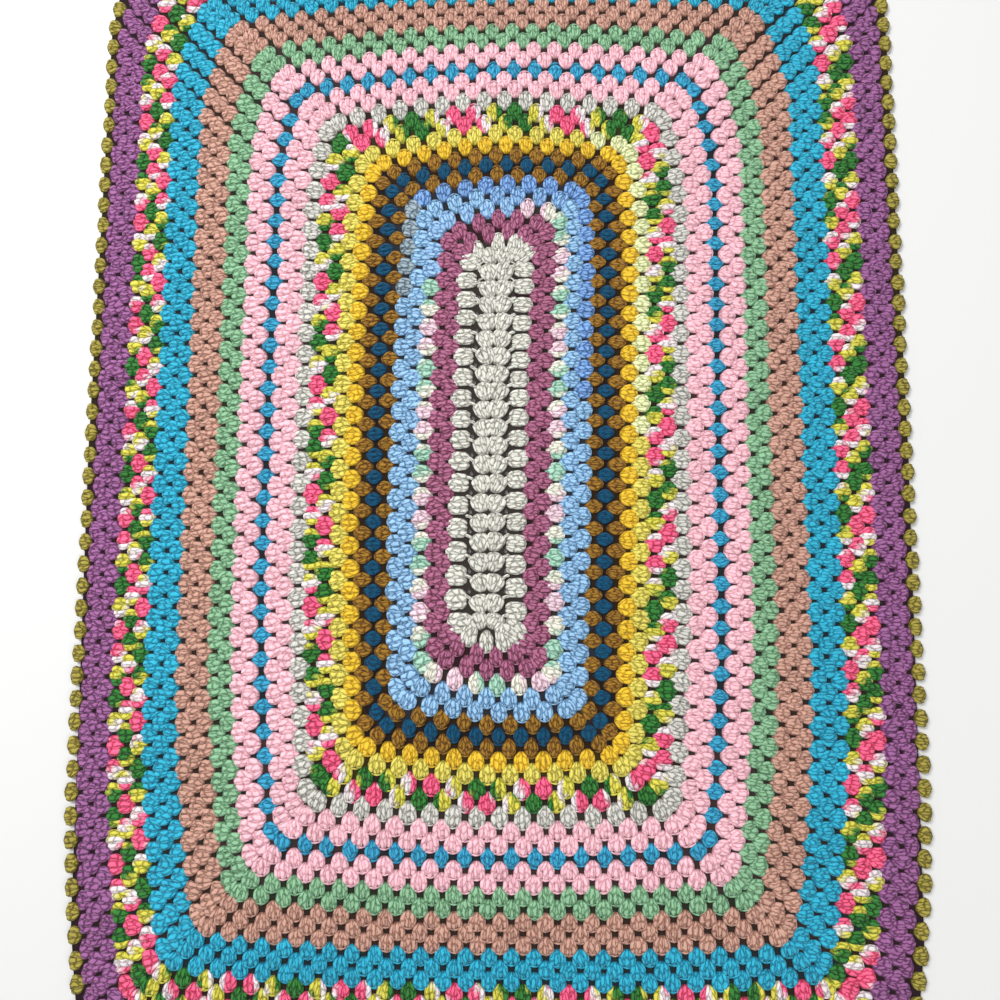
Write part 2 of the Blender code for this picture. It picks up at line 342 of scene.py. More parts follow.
# Stretches worked in a yarn's second colour: yarn, round, side, first and last cluster, share (2 is faded)
SECOND_STRETCHES = (
    ("pale_mix", 4, "head", 0, 3, 1.0),
    ("pale_mix", 4, "left", 18, 20, 1.0),
    ("light_blue", 6, "head", 0, 7, 0.8),
    ("light_blue", 6, "right", 0, 10, 0.8),
    ("light_blue", 6, "left", 18, 22, 2.0),
    ("light_blue", 5, "head", 3, 6, 0.4),
    ("lemon", 11, "head", 11, 12, 1.0),
    ("lemon", 11, "right", 0, 14, 1.0),
)

# How much the clusters' pitch grows along a side of the inner rounds, as shares of the pitch
PITCH_GROWTH = {"head": 0.0, "right": 0.10, "foot": 0.0, "left": -0.10}
CORNER_WIDER = 1.12

# The camera stands above the cloth, a little towards its foot end
STRIP_MIDDLE_Y = 0.0102
CAMERA_X = 0.0305
CAMERA_Y = -0.1135
CAMERA_Z = 0.611
CAMERA_TURN = (5.766, 2.089, 0.083)
CAMERA_LENS = 27.0
CAMERA_SENSOR = 36.0

# The floor, and each light's place, size and power
FLOOR_HALF = 4.0
FLOOR_COLOUR = (0.80, 0.80, 0.79)
FLOOR_ROUGHNESS = 0.85
KEY_LIGHT = ((-1.3, 1.2, 1.9), 1.1, 62.0)
FILL_LIGHT = ((1.6, -1.0, 1.8), 1.8, 18.0)
WHITE = (1.0, 1.0, 1.0)
SKY_STRENGTH = 0.42


def reach(round_number):
    """How far out from round 1 a round lies, also between two rounds."""
    first_band = BANDS[0]
    if round_number <= 1:
        return (round_number - 1) * first_band[3]
    total = 0.0
    left = round_number - 1
    for index, band in enumerate(BANDS):
        rows = band[2] - 1 if index == 0 else band[2]
        taken = min(left, rows)
        total += taken * band[3]
        left -= taken
    return total


def half_width(round_number):
    return FIRST_ROUND_HALF_WIDTH + reach(round_number)


def head_length(round_number):
    return FIRST_ROUND_HALF_LENGTH + HEAD_ROW_SHARE * reach(round_number)


def foot_length(round_number):
    return FIRST_ROUND_HALF_LENGTH + FOOT_ROW_SHARE * reach(round_number)


def side_drop(round_number):
    return min(SIDE_DROP_AT_START + SIDE_DROP_PER_ROUND * round_number, SIDE_DROP_MOST)


def head_drop(round_number):
    return min(END_DROP_AT_START + END_DROP_PER_ROUND * round_number, END_DROP_MOST)


def foot_drop(round_number):
    return FOOT_DROP_SHARE * head_drop(round_number)


def fade(round_number):
    return max(0.0, 1.0 - max(0.0, round_number - 1) / LEAN_ROUNDS)


def fall(distance, sweep, half_side):
    """The share of a side's drop that is left at a distance from its end."""
    return max(0.0, 1.0 - distance / min(sweep, half_side)) ** DROP_POWER


def lean(y, round_number):
    along = max(-1.0, min(1.0, y / FIRST_ROUND_HALF_LENGTH))
    return (LEAN_TILT * along + LEAN_BEND * along * along) * fade(round_number)


def stretch(x, y, round_number):
    along = max(-1.0, min(1.0, y / FIRST_ROUND_HALF_LENGTH))
    return RIGHT_STRETCH * along * x / half_width(round_number) * fade(round_number)


def side_length(side, round_number):
    """The length of a side between its two end clusters."""
    if side in ("head", "foot"):
        return 2 * (half_width(round_number) - side_drop(round_number) - CORNER_STEP_ACROSS)
    whole = head_length(round_number) + foot_length(round_number)
    return whole - head_drop(round_number) - foot_drop(round_number) - 2 * CORNER_STEP_DOWN


def side_point(side, round_number, distance):
    """A point of a round, at a distance along one of its sides, going clockwise from the head end."""
    length = side_length(side, round_number)
    half = length / 2
    at_head = head_drop(round_number)
    at_foot = foot_drop(round_number)
    down = side_drop(round_number)
    from_end = min(distance, length - distance)
    if side == "head":
        x = distance - half
        y = head_length(round_number) - at_head * fall(from_end, END_SWEEP, half)
    elif side == "foot":
        x = half - distance
        y = -foot_length(round_number) + at_foot * fall(from_end, END_SWEEP, half)
    else:
        to_head = distance if side == "right" else length - distance
        y = head_length(round_number) - at_head - CORNER_STEP_DOWN - to_head
        kept = fall(to_head, HEAD_SWEEP, half) + fall(length - to_head, FOOT_SWEEP, half)
        x = half_width(round_number) - down * kept
        if side == "left":
            x = -x
    return Vector((x + lean(y, round_number), y + stretch(x, y, round_number)))


SIDES = ("head", "right", "foot", "left")


def clusters_on(side, round_number):
    return round_number + SIDE_CLUSTERS[side]


def side_centres(side, round_number):
    """The centres of a side's clusters, which stand closer together towards the head end."""
    count = clusters_on(side, round_number)
    length = side_length(side, round_number)
    growth = PITCH_GROWTH[side] * fade(round_number)
    centres = []
    for number in range(count):
        share = number / (count - 1)
        share -= growth * share * (1 - share)
        centres.append(side_point(side, round_number, length * share))
    return centres


def cluster_centres(round_number):
    return [centre for side in SIDES for centre in side_centres(side, round_number)]


def ridge_line(round_number):
    """A closed line of a few points along a round."""
    line = []
    for side in SIDES:
        length = side_length(side, round_number)
        steps = [step for step in RIDGE_STEPS if step < length / 2 - RIDGE_STEPS[1] / 3]
        distances = steps + [length / 2] + [length - step for step in reversed(steps)]
        for distance in distances:
            line.append(side_point(side, round_number, distance))
    return line


def rim_line():
    """The scalloped outline, with four points for each cluster of the last round."""
    centres = cluster_centres(LAST_ROUND)
    count = len(centres)
    line = []
    for number, centre in enumerate(centres):
        before = centres[number - 1]
        after = centres[(number + 1) % count]
        along = (after - before).normalized()
        out = Vector((-along.y, along.x))
        shoulder_along, shoulder_out = SCALLOP_SHOULDER
        line.append(centre - along * shoulder_along + out * shoulder_out)
        line.append(centre + out * SCALLOP_TOP)
        line.append(centre + along * shoulder_along + out * shoulder_out)
        step = (after - centre).normalized()
        step_out = Vector((-step.y, step.x))
        line.append((centre + after) / 2 + step_out * SCALLOP_VALLEY)
    return line


def box_middle(line):
    low = Vector((min(p.x for p in line), min(p.y for p in line)))
    high = Vector((max(p.x for p in line), max(p.y for p in line)))
    return (low + high) / 2


MIDDLE = box_middle(rim_line())


def fan_foot_y(number):
    share = number / (FANS - 1)
    share -= FAN_PITCH_GROWTH * share * (1 - share)
    return FIRST_FAN_Y + (LAST_FAN_Y - FIRST_FAN_Y) * share


def gap_outline(x, y, half_w, half_h):
    """A gap with a narrow upper end and a broad lower end, like the space between two fans."""
    corners = (
        (0.0, 1.0),
        (-0.7, 0.35),
        (-1.0, -0.55),
        (-0.35, -1.0),
        (0.5, -0.95),
        (1.0, -0.4),
        (0.65, 0.45),
    )
    middle = lean(y, 0)
    return [Vector((middle + x + half_w * u, y + half_h * v)) for u, v in corners]


def gap_outlines():
    gaps = []
    for number in range(FIRST_GAP_FAN, LAST_GAP_FAN + 1):
        y = fan_foot_y(number) + GAP_ABOVE_FAN_FOOT + WEB_GAP_SHIFT[1]
        for outward in (-1, 1):
            x = outward * (GAP_X + WEB_GAP_SHIFT[0])
            gaps.append(gap_outline(x, y, GAP_HALF_WIDTH * WEB_GAP_SHARE, GAP_HALF_HEIGHT * WEB_GAP_SHARE))
    for number, half_w, half_h in FOOT_GAPS:
        wide = half_w * WEB_GAP_SHARE
        high = half_h * WEB_GAP_SHARE
        gaps.append(gap_outline(0.0, fan_foot_y(number) - half_h, wide, high))
    return gaps


def row_height(round_number):
    return reach(round_number + 0.5) - reach(round_number - 0.5)


def first_feet(side, centres):
    """Where the clusters of round 1 grow out of the strip."""
    last = len(centres) - 1
    feet = []
    for number, centre in enumerate(centres):
        corner = number in (0, last)
        if side == "head":
            foot_x = (number - 1) * HEAD_CORNER_FOOT[0]
            y = HEAD_CORNER_FOOT[1] if corner else HEAD_MIDDLE_FOOT
        elif side == "foot":
            foot_x = (1 - number) * FOOT_CORNER_FOOT[0]
            y = FOOT_CORNER_FOOT[1] if corner else FOOT_MIDDLE_FOOT
        else:
            outward = 1 if side == "right" else -1
            at_head = number == (0 if side == "right" else last)
            if corner:
                corner_foot = HEAD_CORNER_FOOT if at_head else FOOT_CORNER_FOOT
                foot_x = outward * corner_foot[0]
                y = corner_foot[1]
            else:
                y = centre.y
                foot_x = outward * (FIRST_ROUND_HALF_WIDTH - FIRST_SIDE_FOOT)
        feet.append(Vector((foot_x + lean(y, 0), y)))
    return feet


def later_feet(side, round_number):
    """Each cluster grows out of the space between two clusters of the round before."""
    inner = {name: side_centres(name, round_number - 1) for name in SIDES}
    place = SIDES.index(side)
    before = inner[SIDES[place - 1]][-1]
    after = inner[SIDES[(place + 1) % len(SIDES)]][0]
    line = [before] + inner[side] + [after]
    return [(first + second) / 2 for first, second in zip(line, line[1:])]


class Worked:
    """Posts and chains that are gathered cluster by cluster and then joined into one mesh."""

    def __init__(self):
        self.points = []
        self.quads = []
        self.tris = []
        self.quad_maps = []
        self.tri_maps = []
        self.place = []
        self.tone = []
        self.second = []
        self.count = 0

    def add_tube(self, centres, across, up, wide, high, along, places, tone, second, sides):
        """A tube through the centres, pointed at both ends, with its map along and round the yarn."""
        along = along + float(RANDOM.uniform(0.0, ALONG_OFFSET_MOST))
        slant = float(RANDOM.uniform(SLANT_MOST / 3, SLANT_MOST)) * float(RANDOM.choice((-1.0, 1.0)))
        angles = (np.arange(sides) + 0.5) * 2 * math.pi / sides
        circle = np.stack([np.cos(angles), np.sin(angles)], axis=1)
        body = centres[1:-1]
        offsets = circle[None, :, 0, None] * across * wide[1:-1, None, None]
        offsets = offsets + circle[None, :, 1, None] * up * high[1:-1, None, None]
        rings = body[:, None, :] + offsets
        points = np.concatenate([centres[:1], rings.reshape(-1, 3), centres[-1:]])
        ring_count = len(body)
        first = self.count
        last = first + 1 + ring_count * sides
        steps = np.arange(sides)
        following = (steps + 1) % sides
        turn = (steps + 0.5) / sides
        turn_after = (steps + 1.5) / sides
        for ring in range(ring_count - 1):
            start = first + 1 + ring * sides
            after = start + sides
            square = [start + steps, start + following, after + following, after + steps]
            self.quads.append(np.stack(square, 1))
            low = along[ring + 1] + slant * turn
            low_after = along[ring + 1] + slant * turn_after
            far = along[ring + 2] + slant * turn
            far_after = along[ring + 2] + slant * turn_after
            corners = [(low, turn), (low_after, turn_after), (far_after, turn_after), (far, turn)]
            self.quad_maps.append(np.stack([np.stack(corner, 1) for corner in corners], 1))
        start = first + 1
        self.tris.append(np.stack([np.full(sides, first), start + following, start + steps], 1))
        foot = [(along[0] + slant * turn, turn), (along[1] + slant * turn_after, turn_after)]
        foot.append((along[1] + slant * turn, turn))
        self.tri_maps.append(np.stack([np.stack(corner, 1) for corner in foot], 1))
        start = last - sides
        self.tris.append(np.stack([np.full(sides, last), start + steps, start + following], 1))
        top = [(along[-1] + slant * turn, turn), (along[-2] + slant * turn, turn)]
        top.append((along[-2] + slant * turn_after, turn_after))
        self.tri_maps.append(np.stack([np.stack(corner, 1) for corner in top], 1))
        self.points.append(points)
        spread_places = np.repeat(places[1:-1], sides)
        self.place.append(np.concatenate([places[:1], spread_places, places[-1:]]))
        self.tone.append(np.full(len(points), tone))
        self.second.append(np.full(len(points), second))
        self.count += len(points)

    def mesh(self, name):
        mesh = bpy.data.meshes.new(name)
        quads = np.concatenate(self.quads)
        tris = np.concatenate(self.tris)
        points = np.concatenate(self.points)
        points[:, 2] = np.maximum(points[:, 2], 0.0)
        mesh.from_pydata(points.tolist(), [], quads.tolist() + tris.tolist())
        layer = mesh.uv_layers.new(name="strand")
        quad_map = np.concatenate(self.quad_maps).reshape(-1, 2)
        tri_map = np.concatenate(self.tri_maps).reshape(-1, 2)
        layer.data.foreach_set("uv", np.concatenate([quad_map, tri_map]).astype(np.float32).ravel())
        for label, values in (("place", self.place), ("tone", self.tone), ("second", self.second)):
            attribute = mesh.attributes.new(label, "FLOAT", "POINT")
            attribute.data.foreach_set("value", np.concatenate(values).astype(np.float32))
        mesh.shade_smooth()
        return mesh


RANDOM = np.random.default_rng(SEED)
UP = np.array([0.0, 0.0, 1.0])


def uneven(most):
    return float(RANDOM.uniform(-most, most))


def add_cluster(worked, foot, centre_out, width, rings, chain_run, first_place, second):
    """Three posts from the foot to the top, fused at the foot, and the chain that closes their tops."""
    turn = uneven(TURN_UNEVEN)
    axis = centre_out - foot
    length = axis.length * (1 + uneven(LENGTH_UNEVEN))
    axis = axis.normalized()
    turned_x = axis.x * math.cos(turn) - axis.y * math.sin(turn)
    turned_y = axis.x * math.sin(turn) + axis.y * math.cos(turn)
    axis = Vector((turned_x, turned_y))
    start = np.array([foot.x - MIDDLE.x, foot.y - MIDDLE.y, 0.0])
    start[:2] += [uneven(PLACE_UNEVEN), uneven(PLACE_UNEVEN)]
    out = np.array([axis.x, axis.y, 0.0])
    across = np.array([axis.y, -axis.x, 0.0])
    width = width * (1 + uneven(WIDTH_UNEVEN))
    thick = width / (2 * POSTS) * POST_OVERLAP
    spread = width / 2 - thick
    cluster_tone = uneven(TONE_UNEVEN)
    table = np.array(rings)
    for post in (-1, 0, 1):
        own = thick * (1 + uneven(POST_UNEVEN))
        own_length = length * (1 - OUTER_POST_SHORTER * abs(post) + uneven(OUTER_POST_SHORTER / 2))
        along = table[:, 0] * own_length
        aside = post * spread * table[:, 1] + RANDOM.uniform(-RING_UNEVEN, RING_UNEVEN, len(table))
        height = POST_MIDDLE_Z + table[:, 3] + (MIDDLE_POST_LIFT if post == 0 else -OUTER_POST_DROP)
        centres = start + along[:, None] * out + aside[:, None] * across + height[:, None] * UP
        lumps = 1 - RANDOM.uniform(0.0, 2 * RING_THICKNESS_UNEVEN, len(table))
        wide = own * table[:, 2] * lumps
        high = min(own, POST_HEIGHT_MOST) * table[:, 2] * lumps
        places = first_place + post + 1 + table[:, 0]
        tone = cluster_tone + uneven(TONE_UNEVEN / 2)
        worked.add_tube(centres, across, UP, wide, high, along, places, tone, second, POST_SIDES)
    half_run, chain_out, chain_bow, chain_lift = chain_run
    chain = np.array(CHAIN_RINGS)
    share = chain[:, 0]
    aside = share * width / 2 * half_run
    along = length * (chain_out - chain_bow * share**2)
    height = POST_MIDDLE_Z + chain_lift - CHAIN_FALL * share**2
    centres = start + along[:, None] * out + aside[:, None] * across + height[:, None] * UP
    thickness = CHAIN_THICKNESS * chain[:, 1]
    places = first_place + (share + 1) * (POSTS / 2)
    worked.add_tube(centres, -out, UP, thickness, thickness, aside, places, cluster_tone, second, CHAIN_SIDES)


def second_share(yarn, round_number, side, number):
    for name, of_round, of_side, first, last, share in SECOND_STRETCHES:
        if (name, of_round, of_side) == (yarn, round_number, side) and first <= number <= last:
            return share
    return 0.0


def add_round(worked, yarn, round_number, fullness, first_place):
    """All clusters of a round, and the place along the yarn that its last post reaches."""
    place = first_place
    for side in SIDES:
        centres = side_centres(side, round_number)
        pitch = side_length(side, round_number) / (len(centres) - 1)
        if round_number == 1:
            feet = first_feet(side, centres)
        else:
            feet = later_feet(side, round_number)
        beyond = TOP_SHARE * row_height(min(round_number + 1, LAST_ROUND))
        for number, (foot, centre) in enumerate(zip(feet, centres)):
            direction = (centre - foot).normalized()
            inside = 0 < number < len(centres) - 1
            narrow = fullness < LENS_FULLNESS
            rings = LENS_RINGS if narrow else CLUSTER_RINGS
            chain_run = END_CHAIN if side in ("head", "foot") else SIDE_CHAIN
            if inside:
                pitch = (centres[number + 1] - centres[number - 1]).length / 2
            width = pitch * fullness
            if not narrow:
                width *= FIRST_FULLNESS[side] if round_number == 1 else SIDE_FULLNESS[side]
            top = centre + direction * beyond
            if round_number == 1 and side == "head" and number < len(FINGER_WIDTHS):
                rings = FINGER_RINGS
                chain_run = FINGER_CHAIN
                width *= FINGER_WIDTHS[number]
                top = top + Vector((FINGER_SHIFTS[number], -FINGER_SHORTER))
            elif round_number == 1 and not (inside and side in ("head", "foot")):
                rings = BARREL_RINGS
                chain_run = BARREL_CHAIN
                if not inside:
                    width *= FIRST_CORNER_WIDER
            elif not inside:
                start = SECOND_CORNER_START if round_number == 2 else CORNER_START
                foot = foot + (centre - foot) * start
                top = centre + direction * beyond * CORNER_TOP_SHARE
                width *= CORNER_WIDER
            elif round_number > 1 and not narrow:
                start = SECOND_ROUND_START[side] if round_number == 2 else FULL_CLUSTER_START
                foot = foot + (top - foot) * start
            if round_number == 1 and side == "left" and inside:
                foot = foot + direction * FIRST_LEFT_OUT[0]
                top = top + direction * FIRST_LEFT_OUT[1]
            second = second_share(yarn, round_number, side, number)
            add_cluster(worked, foot, top, width, rings, chain_run, place, second)
            place += POSTS
    return place


def arc_points(start, end, rise):
    """Points of a short strand that bows towards the head end."""
    shares = np.linspace(0.0, 1.0, ARC_STEPS)
    flat = start + (end - start) * shares[:, None]
    bow = np.sin(shares * math.pi) * rise
    flat = flat + bow[:, None] * np.array([0.0, 1.0, 0.0])
    return flat


def add_arc(worked, start, end, rise, thickness, tone):
    points = arc_points(np.array(start), np.array(end), rise)
    points[:, 0] -= MIDDLE.x
    points[:, 1] -= MIDDLE.y
    direction = points[-1] - points[0]
    direction /= np.linalg.norm(direction)
    across = np.cross(direction, UP)
    across /= np.linalg.norm(across)
    wide = np.full(ARC_STEPS, thickness)
    along = np.linspace(0.0, float(np.linalg.norm(points[-1] - points[0])), ARC_STEPS)
    places = np.zeros(ARC_STEPS)
    worked.add_tube(points, across, UP, wide, wide, along, places, tone, 0.0, POST_SIDES)


def add_fan(worked, number, y, share):
    """Two lobes from one foot, and the strands that lead from them towards round 1."""
    middle = lean(y, 0)
    for outward in (-1, 1):
        foot = Vector((middle + outward * LOBE_FOOT_X, y))
        top_y = y + LOBE_TOP[1] * share
        top = Vector((lean(top_y, 0) + outward * LOBE_TOP[0], top_y))
        add_cluster(worked, foot, top, LOBE_WIDTH, LOBE_RINGS, LOBE_CHAIN, 0.0, 0.0)
        for (start_x, start_up), (end_x, end_up), thickness, fans in STRANDS:
            if number >= fans:
                continue
            wander = uneven(STRAND_WANDER)
            start_z = POST_MIDDLE_Z + STRAND_LIFTS[0]
            end_z = POST_MIDDLE_Z + STRAND_LIFTS[1]
            start = (middle + outward * start_x, y + start_up * share + wander, start_z)
            end = (middle + outward * end_x, y + end_up * share - wander, end_z)
            add_arc(worked, start, end, STRAND_RISE, thickness, uneven(TONE_UNEVEN))


def node_maker(material):
    nodes = material.node_tree.nodes
    links = material.node_tree.links

    def make(kind, settings=None, inputs=None):
        node = nodes.new(kind)
        for name, value in (settings or {}).items():
            setattr(node, name, value)
        for name, value in (inputs or {}).items():
            if isinstance(value, bpy.types.NodeSocket):
                links.new(value, node.inputs[name])
            else:
                node.inputs[name].default_value = value
        return node

    return make


def math_node(make, operation, first, second=None):
    inputs = {0: first}
    if second is not None:
        inputs[1] = second
    return make("ShaderNodeMath", {"operation": operation}, inputs).outputs[0]


def times(make, first, second):
    return math_node(make, "MULTIPLY", first, second)


def plus(make, first, second):
    return math_node(make, "ADD", first, second)


def minus(make, first, second):
    return math_node(make, "SUBTRACT", first, second)


def noise(make, spot, scale, detail):
    inputs = {"Vector": spot, "Scale": scale, "Detail": detail}
    return make("ShaderNodeTexNoise", None, inputs).outputs["Fac"]


def smooth_range(make, value, low, high):
    """0 up to the low value, 1 from the high one on and smooth between them."""
    inputs = {"Value": value, "From Min": low, "From Max": high}
    return make("ShaderNodeMapRange", {"interpolation_type": "SMOOTHSTEP"}, inputs).outputs["Result"]


def scaled_colour(make, colour, shade):
    inputs = {0: colour, "Scale": shade}
    return make("ShaderNodeVectorMath", {"operation": "SCALE"}, inputs).outputs["Vector"]


def bump_normal(make, height):
    inputs = {"Height": height, "Strength": BUMP_STRENGTH, "Distance": BUMP_DISTANCE}
    return make("ShaderNodeBump", None, inputs).outputs["Normal"]


def opaque(colour):
    return (*colour, 1.0)


def mix_ramp(make, ramp_place, stretches):
    """The colours along a dyed yarn, each even over its stretch and running into the next."""
    ramp = make("ShaderNodeValToRGB", None, {"Fac": ramp_place})
    band = ramp.color_ramp
    band.interpolation = "LINEAR"
    stops = []
    for start, end, colour in stretches:
        stops.append((start, colour))
        stops.append((end, colour))
    band.elements[0].position = stops[0][0]
    band.elements[0].color = opaque(stops[0][1])
    band.elements[1].position = stops[-1][0]
    band.elements[1].color = opaque(stops[-1][1])
    for position, colour in stops[1:-1]:
        element = band.elements.new(position)
        element.color = opaque(colour)
    return ramp.outputs["Color"]


# Sockets of a colour Mix node
MIX_FIRST_COLOUR = 6
MIX_SECOND_COLOUR = 7
MIX_COLOUR_OUT = 2
# Strands of a post: cells to a metre along it and to a turn round it, and the width of the creases
STRANDS_ALONG = 150.0
STRANDS_ROUND = 5.0
STRAND_CRISPNESS = 0.85
CREASE_WIDTH = 0.22
# Painted shade in the creases: how much darker, and how much fuller in colour, they are made
CREASE_PAINTED_SHADE = 0.58
CREASE_PAINTED_SHADE_GAMMA = 0.50
# The creases' painted shade is shallow in some places and deep in others
CREASE_SHALLOW = 0.35
CREASE_VARIES = 1.30
# How far above or below the middle of the cloth a strand starts to come out of the painted shade between
# posts, and where it is fully out of it
SHADED_DEPTH = 0.0001
OPEN_DEPTH = 0.0012
# How much darker and fuller in colour the painted shade between posts makes a strand
DEEP_PAINTED_SHADE = 0.50
DEEP_PAINTED_SHADE_GAMMA = 0.30
PLIES_ALONG = 640.0
PLIES_ROUND = 5.0
# Noise over the yarn and over the web: scale and detail
FIBRE_NOISE = (2600.0, 2.0)
FLECK_NOISE = (420.0, 3.0)
CLOUD_NOISE = (14.0, 2.0)
THREAD_NOISE = (900.0, 3.0)
# How far flecks shift the strands, in cells, and the colours of a mixed yarn, in posts
STRAND_DRIFT = 0.9
MIX_DRIFT = 0.7
# The yarn's brightness: its level, how much clouds and flecks add to it, and how much the plies add as
# painted light and shade
SHADE_LEVEL = 0.81
CLOUD_SHADE = 0.16
FLECK_SHADE = 0.30
PLY_PAINTED_SHADE = 0.12
# The roughness starts this far below the yarn's own, and fibres add to it
ROUGHNESS_DROP = 0.06
FIBRE_ROUGHNESS = 0.10
YARN_SPECULAR = 0.15
SHEEN = 0.10
SHEEN_ROUGHNESS = 0.60
# Height of the plies and fibres in the bump, as shares of a strand's
PLY_BUMP = 0.30
FIBRE_BUMP = 0.25
BUMP_STRENGTH = 0.8
BUMP_DISTANCE = 0.0006
# The web's brightness over its painted shade colour, and its roughness: how much its threads add, and the
# level that they add it to
WEB_SHADE = (1.2, 0.4)
WEB_ROUGHNESS = (0.1, 0.88)
WEB_SPECULAR = 0.1


def yarn_material(yarn):
    """Soft matt yarn: short slanting strands with creases between them, twisted plies and loose fibres, with
    shade painted into the creases, along the plies and between the posts.
    """
    colour, second_colour, roughness, ply_show = YARNS[yarn]
    material = bpy.data.materials.new("yarn_" + yarn)
    material.use_nodes = True
    shader = material.node_tree.nodes["Principled BSDF"]
    make = node_maker(material)
    links = material.node_tree.links
    strand = make("ShaderNodeUVMap", {"uv_map": "strand"})
    parts = make("ShaderNodeSeparateXYZ", None, {"Vector": strand.outputs["UV"]})
    along = parts.outputs["X"]
    turn = parts.outputs["Y"]
    spot = make("ShaderNodeTexCoord").outputs["Object"]
    fibre = noise(make, spot, *FIBRE_NOISE)
    fleck = noise(make, spot, *FLECK_NOISE)
    cloud = noise(make, spot, *CLOUD_NOISE)
    place = make("ShaderNodeAttribute", {"attribute_name": "place"}).outputs["Fac"]
    tone = make("ShaderNodeAttribute", {"attribute_name": "tone"}).outputs["Fac"]
    second = make("ShaderNodeAttribute", {"attribute_name": "second"}).outputs["Fac"]

    # Strands, as uneven cells that are longer than wide
    cell_along = times(make, along, STRANDS_ALONG)
    cell_round = times(make, turn, STRANDS_ROUND)
    cell_round = plus(make, cell_round, times(make, fleck, STRAND_DRIFT))
    cell_place = make("ShaderNodeCombineXYZ", None, {"X": cell_along, "Y": cell_round}).outputs["Vector"]
    cell_kind = {"voronoi_dimensions": "2D", "feature": "DISTANCE_TO_EDGE"}
    cell_inputs = {"Vector": cell_place, "Scale": 1.0, "Randomness": STRAND_CRISPNESS}
    from_crease = make("ShaderNodeTexVoronoi", cell_kind, cell_inputs).outputs["Distance"]
    strand_top = smooth_range(make, from_crease, 0.0, CREASE_WIDTH)
    crease_shade_depth = times(make, fleck, CREASE_VARIES)
    crease_shade_depth = plus(make, crease_shade_depth, CREASE_SHALLOW)
    crease_shade = times(make, minus(make, 1.0, strand_top), crease_shade_depth)

    # Plies, as fine slanting lines on every strand
    run = times(make, along, PLIES_ALONG)
    slant = times(make, turn, PLIES_ROUND)
    phase = plus(make, plus(make, run, slant), fleck)
    ply = math_node(make, "SINE", times(make, phase, 2 * math.pi))
    ply_top = plus(make, times(make, ply, 0.5), 0.5)

    if yarn in MIXES:
        period, stretches = MIXES[yarn]
        drift = times(make, fleck, MIX_DRIFT)
        shifted = plus(make, place, drift)
        ramp_place = math_node(make, "FRACT", math_node(make, "DIVIDE", shifted, period))
        own = mix_ramp(make, ramp_place, stretches)
    else:
        own = opaque(colour)
    inputs = {"Factor": second, MIX_FIRST_COLOUR: own, MIX_SECOND_COLOUR: opaque(second_colour)}
    blend = make("ShaderNodeMix", {"data_type": "RGBA"}, inputs)

    blended = blend.outputs[MIX_COLOUR_OUT]
    if yarn in FADED:
        past_second = minus(make, second, 1.0)
        inputs = {"Factor": past_second, MIX_FIRST_COLOUR: blended, MIX_SECOND_COLOUR: opaque(FADED[yarn])}
        blended = make("ShaderNodeMix", {"data_type": "RGBA"}, inputs).outputs[MIX_COLOUR_OUT]

    # Painted shade: creases, and what lies deep between two posts, are made darker and fuller in colour
    spot_z = make("ShaderNodeSeparateXYZ", None, {"Vector": spot}).outputs["Z"]
    from_middle = math_node(make, "ABSOLUTE", minus(make, spot_z, POST_MIDDLE_Z))
    out_of_painted_shade = smooth_range(make, from_middle, SHADED_DEPTH, OPEN_DEPTH)
    # How deep a strand lies in the painted shade between posts
    deep = minus(make, 1.0, out_of_painted_shade)
    painted_shade_gamma = plus(make, times(make, crease_shade, CREASE_PAINTED_SHADE_GAMMA * ply_show), 1.0)
    painted_shade_gamma = plus(make, painted_shade_gamma, times(make, deep, DEEP_PAINTED_SHADE_GAMMA))
    painted_shade_colour = make("ShaderNodeGamma", None, {"Color": blended, "Gamma": painted_shade_gamma})
    shade = plus(make, times(make, cloud, CLOUD_SHADE), times(make, fleck, FLECK_SHADE))
    # Painted light and shade along the plies: lighter on their tops
    shade = plus(make, shade, times(make, ply_top, PLY_PAINTED_SHADE * ply_show))
    shade = minus(make, shade, times(make, crease_shade, CREASE_PAINTED_SHADE * ply_show))
    shade = plus(make, shade, tone)
    shade = plus(make, shade, SHADE_LEVEL)
    # Painted shade between posts: strands near the middle height of the cloth are darkened
    kept_light = minus(make, 1.0, times(make, deep, DEEP_PAINTED_SHADE))
    shade = times(make, shade, kept_light)
    links.new(scaled_colour(make, painted_shade_colour.outputs["Color"], shade), shader.inputs["Base Color"])

    rough = plus(make, times(make, fibre, FIBRE_ROUGHNESS), roughness - ROUGHNESS_DROP)
    links.new(rough, shader.inputs["Roughness"])
    shader.inputs["Specular IOR Level"].default_value = YARN_SPECULAR
    shader.inputs["Sheen Weight"].default_value = SHEEN
    shader.inputs["Sheen Roughness"].default_value = SHEEN_ROUGHNESS

    height = times(make, strand_top, ply_show)
    height = plus(make, height, times(make, ply_top, PLY_BUMP * ply_show))
    height = plus(make, height, times(make, fibre, FIBRE_BUMP))
    links.new(bump_normal(make, height), shader.inputs["Normal"])
    return material


